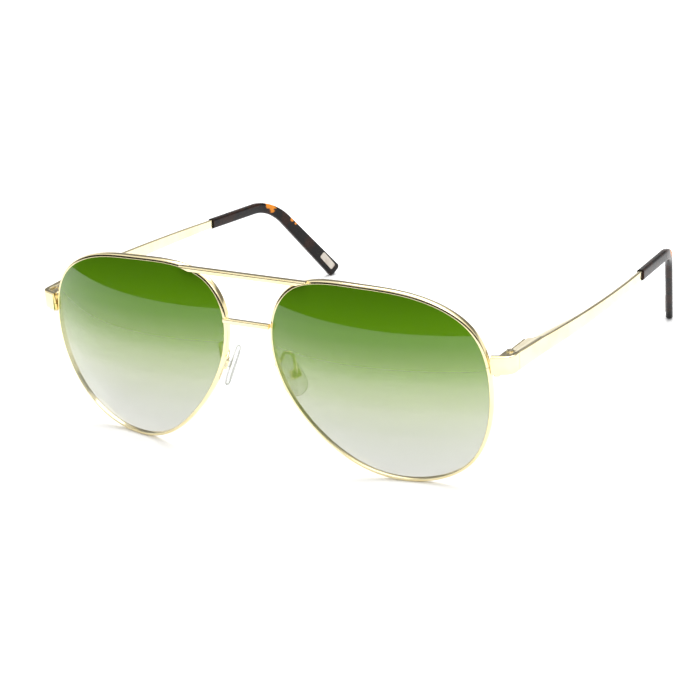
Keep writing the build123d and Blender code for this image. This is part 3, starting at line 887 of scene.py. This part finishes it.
@dataclass
class TempleTip:
    """The acetate tip behind the ear."""

    side: Side
    maker: MakersFrame
    plan: TemplePlan
    thickness: float = 2.2
    front_height: float = 3.1
    bend_height: float = 3.2
    end_height: float = 4.5
    hinge_z: float = 8.5
    start_fall: float = 3.6
    bend_y: float = 123.4
    bend_fall: float = 5.5
    drop: float = 51.5
    bend_radius: float = 18.0
    edge: float = 0.75
    floor_z: float = -26.66
    end_round: float = 1.2
    side_round: float = 1.2
    round_steps: int = 7
    corner_steps: int = 5
    sharp: float = 50.0
    samples: int = 110

    def spine(self) -> tuple[np.ndarray, np.ndarray, np.ndarray]:
        """Places (y, z) along the tip's middle, its heading there, and its height there."""
        start = np.array((self.plan.tip_y, self.hinge_z - self.start_fall))
        bend = np.array((self.bend_y, self.hinge_z - self.bend_fall))
        slope = math.atan2(start[1] - bend[1], bend[0] - start[0])
        drop = math.radians(self.drop)
        cut = self.bend_radius * math.tan((drop - slope) / 2)
        round_loss = self.end_round * (math.cos(drop) + math.sin(drop) - 1)
        reach = self.end_height / 2 * math.cos(drop) - round_loss
        run = (bend[1] - self.floor_z - reach) / math.sin(drop)
        first = float(np.linalg.norm(bend - start)) - cut
        turn = (drop - slope) * self.bend_radius
        marks = np.cumsum((0.0, first, turn, run - cut))
        along = np.linspace(0.0, marks[-1], self.samples)
        heading = np.interp(along, marks, (slope, slope, drop, drop))
        runs = np.column_stack((np.cos(heading), -np.sin(heading)))
        steps = np.diff(along)[:, None] * (runs[1:] + runs[:-1]) / 2
        places = start + np.concatenate((np.zeros((1, 2)), np.cumsum(steps, axis=0)))
        middle = (marks[1] + marks[2]) / 2
        height = np.interp(along, (0.0, middle, marks[-1]),
                           (self.front_height, self.bend_height, self.end_height))
        return places, heading, height

    def make(self, shell: bpy.types.Material) -> None:
        """Build and dress the tip."""
        places, heading, height = self.spine()
        rings = [(spot, lean, tall, self.thickness) for spot, lean, tall in zip(places, heading, height)]
        last_spot, lean, tall, _ = rings[-1]
        forward = np.array((math.cos(lean), -math.sin(lean)))
        kept = [ring for ring in rings if np.dot(last_spot - ring[0], forward) > self.end_round
                or ring[0][0] < self.bend_y]
        for step in range(self.round_steps + 1):
            angle = step / self.round_steps * math.pi / 2
            shrink = self.end_round * (1 - math.cos(angle))
            spot = last_spot - forward * self.end_round * (1 - math.sin(angle))
            kept.append((spot, lean, tall - 2 * shrink, self.thickness - self.side_round * shrink))
        y = np.array([ring[0][0] for ring in kept])
        x, normal = self.plan.at(y)
        mesh_rings = []
        for place, (spot, lean, tall, thick) in enumerate(kept):
            section = rounded_section(thick, tall, self.edge, self.corner_steps)
            out = normal[place]
            rise = section[:, 1]
            back = rise * math.sin(lean)
            mesh_rings.append(np.column_stack((
                x[place] + out[0] * section[:, 0] - out[1] / out[0] * back,
                spot[0] + out[1] * section[:, 0] + back,
                spot[1] + rise * math.cos(lean))))
        word = self.side.word
        skin = self.maker.place(np.array(mesh_rings), self.side)
        piece = solid_from_rings(f"{word}_tip_shell", skin, self.sharp)
        dress(piece, shell, "tip_acetate", f"{word}_temple", f"{word}_temple_tip")


# ---------------------------------------------------------------- nose pads


@dataclass
class NosePad:
    """A soft pad on its wire arm."""

    side: Side
    maker: MakersFrame
    centre: Point = (9.7, 7.6, -1.5)
    facing: Point = (-0.80, 0.48, -0.36)
    lean: Point = (-0.39, 0.05, 0.92)
    height: float = 12.0
    width: float = 7.0
    top_radius: float = 2.2
    thickness: float = 1.6
    rise: float = 0.5
    box_depth: float = 1.9
    wire: float = 0.9
    wire_round: float = 0.49
    wire_in_box: float = 0.75
    bend: float = 1.3
    edge_in: float = 0.16
    edge_bulge: float = 0.82
    edge_steps: int = 8
    hub: float = 0.03
    dome: float = 0.45
    dome_back: float = 0.02
    dome_front: float = 0.99
    sharp: float = 70.0
    boss_width: float = 1.1
    boss_height: float = 1.6
    boss_corner: float = 0.25
    boss_front: Range = (0.35, -0.2)
    boss_clear: Range = (0.9, 0.75)
    boss_taper: float = 0.8
    arm: tuple[Point, ...] = ((7.5, 2.9, 2.2), (8.0, 4.9, 2.9), (9.0, 5.3, 5.6), (11.3, 5.8, 4.6))
    samples: int = 72

    def axes(self) -> tuple[np.ndarray, np.ndarray, np.ndarray]:
        """Unit vectors across the pad, up it and out of its face."""
        out = np.array(self.facing) / np.linalg.norm(self.facing)
        across = np.cross(np.array(self.lean), out)
        across /= np.linalg.norm(across)
        return across, np.cross(out, across), out

    def outline(self) -> np.ndarray:
        """The pad's teardrop: two circles and their common tangents."""
        low, high = self.width / 2, self.top_radius
        low_at, high_at = (self.width - self.height) / 2, self.height / 2 - high
        tilt = math.asin((low - high) / (high_at - low_at))
        places = []
        for step in range(self.samples):
            angle = -math.pi / 2 + 2 * math.pi * step / self.samples
            facing_up = math.sin(angle) > math.sin(tilt)
            radius, at = (high, high_at) if facing_up else (low, low_at)
            places.append((radius * math.cos(angle), at + radius * math.sin(angle)))
        return np.array(places)

    def pad(self) -> bpy.types.Object:
        """The pad, a little crowned on both faces; the boss that its box holds is made apart, by `boss`."""
        across, up, out = self.axes()
        edge = self.outline()
        profile = [(self.hub, 0.0), (self.dome, self.dome_back)]
        for step in range(self.edge_steps + 1):
            angle = -math.pi / 2 + math.pi * step / self.edge_steps
            profile.append((1 - self.edge_in * (1 - math.cos(angle)),
                            self.thickness / 2 * (1 + self.edge_bulge * math.sin(angle))))
        profile += [(self.dome, self.thickness * self.dome_front), (self.hub, self.thickness)]
        middle = np.array(self.centre)
        rings = [middle + edge[:, :1] * share * across + edge[:, 1:] * share * up + depth * out
                 for share, depth in profile]
        skin = self.maker.place(np.array(rings), self.side)
        return solid_from_rings(f"{self.side.word}_soft_pad", skin, self.sharp)

    def boss(self) -> np.ndarray:
        """Rings of the boss behind the pad, in millimetres."""
        across, up, out = self.axes()
        section = rounded_section(self.boss_width, self.boss_height, self.boss_corner)
        bottom = -self.rise - self.box_depth
        depths = (*self.boss_front, *(bottom + clear for clear in self.boss_clear))
        shares = (1.0, 1.0, 1.0, self.boss_taper)
        middle = np.array(self.centre)
        return np.array([middle + section[:, :1] * share * across + section[:, 1:] * share * up + depth * out
                         for depth, share in zip(depths, shares)])

    def make(self, tree: WireTree, gold: bpy.types.Material, clear: bpy.types.Material) -> None:
        """Build and dress the pad and its arm."""
        word = self.side.word
        boss = solid_from_rings(f"{word}_pad_boss", self.maker.place(self.boss(), self.side))
        dress(self.pad(), clear, "pad_clear", f"{word}_pad", f"{word}_nose_pad")
        dress(boss, clear, "pad_clear", f"{word}_pad")
        _, _, out = self.axes()
        end = np.array(self.centre) - out * (self.rise + self.box_depth * self.wire_in_box)
        path = self.maker.place(np.array((*self.arm, tuple(end))), self.side)
        sizes = {
            "Width": self.wire * MM, "Depth": self.wire * MM,
            "Edge Radius": self.wire_round * self.wire * MM, "Bend Radius": self.bend * MM,
        }
        wire = tree.sweep(f"{word}_pad_wire", path, sizes, gold)
        dress(wire, gold, "gold_wire", "front", f"{word}_pad_arm")


# ---------------------------------------------------------------- blocks, cases and inlays


@dataclass
class ClosingBlocks:
    """The two halves of the block that closes a rim, set back behind the end piece's face."""

    side: Side
    maker: MakersFrame
    front_y: float = 8.75

    def make(self, gold: bpy.types.Material) -> None:
        """Build and dress both halves."""
        limit = self.maker.place(np.array((0.0, self.front_y, 0.0)), self.side)[1]
        for half in ("upper", "lower"):
            node = f"{self.side.word}_{half}_closing_block"
            piece = smooth_copy(node, f"{self.side.word}_{half}_block")
            for vertex in piece.data.vertices:
                vertex.co.y = max(vertex.co.y, limit)
            dress(piece, gold, "gold_parts", "front", node)


@dataclass
class HingeCase:
    """The spring's case, its top sloping down toward its inner side."""

    side: Side
    slope: float = 0.25
    top_share: float = 0.6

    def make(self, gold: bpy.types.Material) -> None:
        """Build and dress the case."""
        word = self.side.word
        piece = smooth_copy(f"{word}_hinge_case", f"{word}_spring_case")
        low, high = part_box(f"{word}_hinge_case")
        middle = (low.z + high.z) / 2
        outer = max(abs(low.x), abs(high.x))
        for vertex in piece.data.vertices:
            if vertex.co.z > middle + self.top_share * (high.z - middle):
                vertex.co.z -= self.slope * (outer - abs(vertex.co.x))
        dress(piece, gold, "gold_parts", f"{word}_temple", f"{word}_hinge_case")


@dataclass
class Inlay:
    """The plain plate let into a tip's inner side, standing just proud of it."""

    side: Side
    proud: float = 0.12
    face_share: float = 0.8

    def make(self, finish: bpy.types.Material) -> None:
        """Build and dress the plate."""
        word = self.side.word
        piece = smooth_copy(f"{word}_tip_inlay", f"{word}_tip_plate")
        broad = self.face_share * max(face.area for face in piece.data.polygons)
        inner = max(piece.data.polygons,
                    key=lambda face: (face.area > broad, -self.side.value * face.normal.x))
        piece.data.transform(Matrix.Translation(inner.normal * self.proud * MM))
        dress(piece, finish, "inlay", f"{word}_temple", f"{word}_tip_inlay")


# ---------------------------------------------------------------- studio


@dataclass(frozen=True)
class SoftLight:
    """A square soft light aimed at the glasses."""

    name: str
    place: Point
    size: float
    power: float

    def make(self) -> None:
        """Create the light."""
        data = bpy.data.lights.new(self.name, "AREA")
        data.shape = "SQUARE"
        data.size = self.size
        data.energy = self.power
        light = bpy.data.objects.new(self.name, data)
        light.location = self.place
        light.rotation_euler = (-Vector(self.place)).to_track_quat("-Z", "Y").to_euler()
        bpy.context.collection.objects.link(light)


@dataclass
class Studio:
    """A white table, soft light and the camera."""

    eye: Point = (0.28290, -0.50000, 0.22399)
    azimuth: float = 30.506
    elevation: float = 20.645
    roll: float = -3.326
    focal: float = 109.35
    sensor: float = 36.0
    clip: float = 0.01
    table: float = 0.46
    table_sides: int = 96
    table_drop: float = 0.00005
    front_card_edge: Range = (0.05, -0.30)
    front_card_top: Range = (0.36, 0.22)
    rear_card_edge: Range = (0.30, 0.50)
    rear_card_low: Range = (0.14, 0.24)
    rear_card_high: Range = (0.62, 0.50)
    rear_card_share: float = 0.82
    lights: tuple[SoftLight, ...] = (
        SoftLight("top light", (0.0, 0.25, 0.9), 0.9, 9.0),
        SoftLight("front light", (0.5, -0.6, 0.7), 0.5, 3.0),
    )

    def camera(self) -> None:
        """Create the camera and make it the scene's."""
        turn, lift, roll = map(math.radians, (self.azimuth, self.elevation, self.roll))
        back = Vector((math.sin(turn) * math.cos(lift), -math.cos(turn) * math.cos(lift), math.sin(lift)))
        right = (-back).cross(Vector((0, 0, 1))).normalized()
        up = right.cross(-back)
        level = math.cos(roll) * right + math.sin(roll) * up
        raised = -math.sin(roll) * right + math.cos(roll) * up
        data = bpy.data.cameras.new("Camera")
        data.lens = self.focal
        data.sensor_width = self.sensor
        data.clip_start = self.clip
        camera = bpy.data.objects.new("Camera", data)
        turned = Matrix((level, raised, back)).transposed().to_4x4()
        camera.matrix_world = Matrix.Translation(Vector(self.eye)) @ turned
        bpy.context.collection.objects.link(camera)
        bpy.context.scene.camera = camera

    def floor(self, finish: bpy.types.Material) -> None:
        """A round white table under the glasses."""
        work = bmesh.new()
        bmesh.ops.create_circle(work, cap_ends=True, segments=self.table_sides, radius=self.table)
        mesh = bpy.data.meshes.new("table")
        work.to_mesh(mesh)
        work.free()
        table = bpy.data.objects.new("table", mesh)
        table.location.z = -self.table_drop
        bpy.context.collection.objects.link(table)
        mesh.materials.append(finish)

    def sky(self) -> None:
        """White all round, with the dark cards that give the polished metal and the lenses their lines."""
        world = bpy.data.worlds.new("studio")
        world.use_nodes = True
        tree = world.node_tree
        tree.nodes.clear()

        def add(kind: str, settings: Settings, inputs: Inputs) -> bpy.types.NodeSocket | None:
            """Add one node to the world and return its first output."""
            node = add_node(tree, kind, settings, inputs)
            return node.outputs[0] if node.outputs else None

        def edge(value: bpy.types.NodeSocket, low: float, high: float) -> bpy.types.NodeSocket:
            """0 at `low` and 1 at `high`."""
            inputs = {"Value": value, "From Min": low, "From Max": high}
            return add("ShaderNodeMapRange", {"interpolation_type": "SMOOTHSTEP"}, inputs)

        def both(first: bpy.types.NodeSocket, second: bpy.types.NodeSocket | float) -> bpy.types.NodeSocket:
            """Where two masks overlap, or a share of one."""
            return add("ShaderNodeMath", {"operation": "MULTIPLY"}, {0: first, 1: second})

        split = tree.nodes.new("ShaderNodeSeparateXYZ")
        way = tree.nodes.new("ShaderNodeTexCoord")
        tree.links.new(way.outputs["Generated"], split.inputs[0])
        back, up = split.outputs["Y"], split.outputs["Z"]
        front_card = both(edge(back, *self.front_card_edge), edge(up, *self.front_card_top))
        band = both(edge(up, *self.rear_card_low), edge(up, *self.rear_card_high))
        rear_card = both(edge(back, *self.rear_card_edge), both(band, self.rear_card_share))
        cards = add("ShaderNodeMath", {"operation": "ADD", "use_clamp": True},
                    {0: front_card, 1: rear_card})
        seen = tree.nodes.new("ShaderNodeLightPath").outputs["Is Camera Ray"]
        hidden = add("ShaderNodeMath", {"operation": "SUBTRACT", "use_clamp": True}, {0: cards, 1: seen})
        ends = {"Value": hidden, "To Min": Sky.WHITE.value, "To Max": Sky.DARK_CARD.value}
        level = add("ShaderNodeMapRange", {}, ends)
        glow = add("ShaderNodeBackground", {}, {"Color": (1.0, 1.0, 1.0, 1.0), "Strength": level})
        add("ShaderNodeOutputWorld", {}, {0: glow})
        bpy.context.scene.world = world

    def make(self, finish: bpy.types.Material) -> None:
        """Set up the whole studio."""
        self.camera()
        self.floor(finish)
        self.sky()
        for light in self.lights:
            light.make()
        bpy.context.scene.view_settings.view_transform = "Standard"


# ---------------------------------------------------------------- the whole


def dress_nodes(finishes: dict[str, bpy.types.Material]) -> None:
    """Give every CAD node the finish of its slot."""
    for row in frame["record"]["subparts"]:
        node = frame["nodes"][row["node"]]
        finish = finishes[row["material_slot"]]
        for slot in node.material_slots:
            slot.material = finish
        if not node.material_slots:
            node.data.materials.append(finish)
        LOG.info("%s is finished in %s", row["node"], finish.name)


def main() -> None:
    """Build the glasses, then the studio."""
    maker = MakersFrame()
    low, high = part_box("left_lens")
    gold = PolishedPlate("pale_gold", (0.93, 0.82, 0.52, 1.0), (0.88, 0.75, 0.43, 1.0), 0.13).build()
    temple_gold = PolishedPlate(
        "temple_gold", (0.92, 0.82, 0.54, 1.0), (0.86, 0.74, 0.45, 1.0), 0.18).build()
    parts_gold = PolishedPlate(
        "cast_gold", (0.92, 0.82, 0.56, 1.0), (0.84, 0.72, 0.44, 1.0), 0.18).build()
    steel = PolishedPlate("turned_steel", (0.70, 0.64, 0.50, 1.0), (0.55, 0.50, 0.40, 1.0), 0.25).build()
    spring = PolishedPlate("spring_wire", (0.60, 0.60, 0.62, 1.0), (0.50, 0.50, 0.52, 1.0), 0.2).build()
    tint = TintedLens("gradient_green", low.z, high.z).build()
    shell = Tortoiseshell("tortoiseshell").build()
    clear = ClearSilicone("clear_silicone").build()
    inlay = PaleInlay("pale_inlay").build()
    dress_nodes({
        "gold_wire": gold, "gold_parts": parts_gold, "gold_temple": temple_gold, "screw_steel": steel,
        "hinge_steel": steel, "spring_steel": spring, "lens_tint": tint, "tip_acetate": shell,
        "inlay": inlay, "pad_clear": clear,
    })
    bent_tree = WireTree("bent bar")
    Bridges().make(gold)
    plan = TemplePlan()
    for side in Side:
        LensAndRim(side, maker).make(gold, tint)
        EndPiece(side, maker).make(bent_tree, gold)
        Temple(side, maker, plan).make(temple_gold)
        TempleTip(side, maker, plan).make(shell)
        NosePad(side, maker).make(bent_tree, gold, clear)
        ClosingBlocks(side, maker).make(parts_gold)
        HingeCase(side).make(parts_gold)
        Inlay(side).make(inlay)
    Studio().make(PaleFloor("white_table").build())


if __name__ == "__main__":
    logging.basicConfig(level=logging.INFO, format="%(name)s: %(message)s")
    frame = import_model()
    main()
